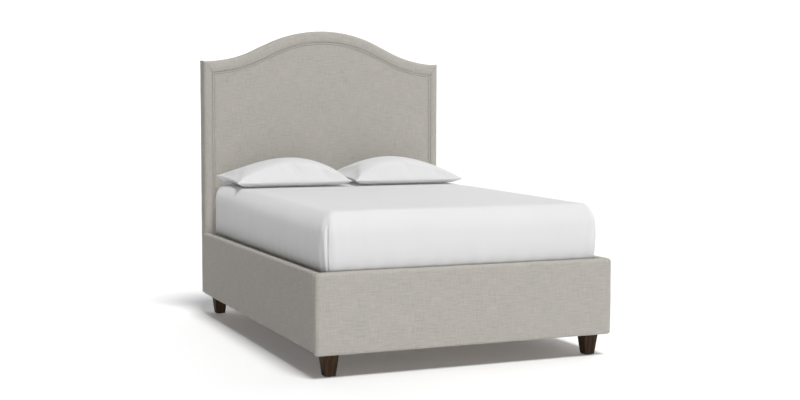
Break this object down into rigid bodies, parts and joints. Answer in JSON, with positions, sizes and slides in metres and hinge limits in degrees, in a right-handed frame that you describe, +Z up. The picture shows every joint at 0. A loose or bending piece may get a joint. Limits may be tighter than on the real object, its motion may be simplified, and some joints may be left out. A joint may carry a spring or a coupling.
{
  "type": "upholstered bed",
  "caption": "Upholstered bed with a tall camelback headboard, low padded box surround, tapered wood feet, slats, foundation, mattress, fitted sheet and pillows.",
  "frame": {"origin": "on the floor under the middle of the bed's overall box", "axes": "+X to the right seen from the foot end, +Y from the footboard to the headboard, +Z up"},
  "size_m": [1.484, 2.055, 1.6299],
  "materials": {
    "linen": "slubby plain weave, matt",
    "welt_linen": "plain weave over cord, matt",
    "backing_cloth": "spun-bonded black cloth, matt",
    "dark_wood": "stained dark brown, satin",
    "pine": "planed softwood, unfinished",
    "plywood": "plywood, unfinished",
    "plated_steel": "zinc plated sheet",
    "fastener_steel": "zinc plated",
    "leveller_steel": "turned, zinc plated",
    "coil_steel": "oil-tempered spring wire",
    "glide": "hard felt-faced plastic",
    "felt": "needled felt",
    "ticking": "woven mattress ticking",
    "foam": "open-cell foam",
    "sheet_cotton": "fine cotton percale, white",
    "case_cotton": "fine cotton percale, white",
    "fibre_fill": "loose polyester fibre in an inner cover"
  },
  "bodies": {
    "bed_frame": {"headboard_post_left": "pine", "headboard_post_right": "pine", "headboard_lower_rail": "pine", "headboard_middle_rail": "pine", "headboard_arch_rail": "pine", "headboard_board": "plywood", "headboard_panel": "linen", "headboard_border_left": "linen", "headboard_border_top": "linen", "headboard_border_right": "linen", "headboard_welt": "welt_linen", "headboard_back_cover": "backing_cloth", "headboard_hook_plates": "plated_steel", "side_rail_board_left": "plywood", "side_rail_board_right": "plywood", "side_rail_cover_left": "linen", "side_rail_cover_right": "linen", "side_rail_hooks": "plated_steel", "footboard_board": "plywood", "footboard_cover": "linen", "corner_brackets": "plated_steel", "bracket_bolts": "fastener_steel", "corner_block_front_left": "pine", "corner_block_front_right": "pine", "corner_block_rear_left": "pine", "corner_block_rear_right": "pine", "foot_front_left": "dark_wood", "foot_front_right": "dark_wood", "foot_rear_left": "dark_wood", "foot_rear_right": "dark_wood", "foot_bolts": "fastener_steel", "foot_glides": "glide", "slat_cleat_left": "pine", "slat_cleat_right": "pine", "slat_1": "pine", "slat_2": "pine", "slat_3": "pine", "slat_4": "pine", "slat_5": "pine", "wood_screws": "fastener_steel", "centre_beam": "pine", "beam_hanger_head": "plated_steel", "beam_hanger_foot": "plated_steel", "centre_leg_front": "pine", "centre_leg_rear": "pine"},
    "foundation": {"foundation_frame": "pine", "foundation_coils": "coil_steel", "foundation_pad": "felt", "foundation_cover": "ticking", "foundation_dust_cover": "backing_cloth"},
    "mattress": {"mattress_coils": "coil_steel", "mattress_foam": "foam", "mattress_cover": "ticking", "fitted_sheet": "sheet_cotton"},
    "pillow_left": {"pillow_left_case": "case_cotton", "pillow_left_fill": "fibre_fill"},
    "pillow_right": {"pillow_right_case": "case_cotton", "pillow_right_fill": "fibre_fill"},
    "leveller_front": {"leveller_front": "leveller_steel"},
    "leveller_rear": {"leveller_rear": "leveller_steel"}
  },
  "joints": [
    {"name": "foundation_lift", "type": "slide", "parent": "bed_frame", "child": "foundation", "axis": [0, 0, 1], "range_m": [0, 0.25]},
    {"name": "mattress_lift", "type": "slide", "parent": "foundation", "child": "mattress", "axis": [0, 0, 1], "range_m": [0, 0.2]},
    {"name": "pillow_left_lift", "type": "slide", "parent": "mattress", "child": "pillow_left", "axis": [0, 0, 1], "range_m": [0, 0.3]},
    {"name": "pillow_right_lift", "type": "slide", "parent": "mattress", "child": "pillow_right", "axis": [0, 0, 1], "range_m": [0, 0.3]},
    {"name": "leveller_front_screw", "type": "slide", "parent": "bed_frame", "child": "leveller_front", "axis": [0, 0, -1], "range_m": [0, 0.012]},
    {"name": "leveller_rear_screw", "type": "slide", "parent": "bed_frame", "child": "leveller_rear", "axis": [0, 0, -1], "range_m": [0, 0.012]}
  ]
}
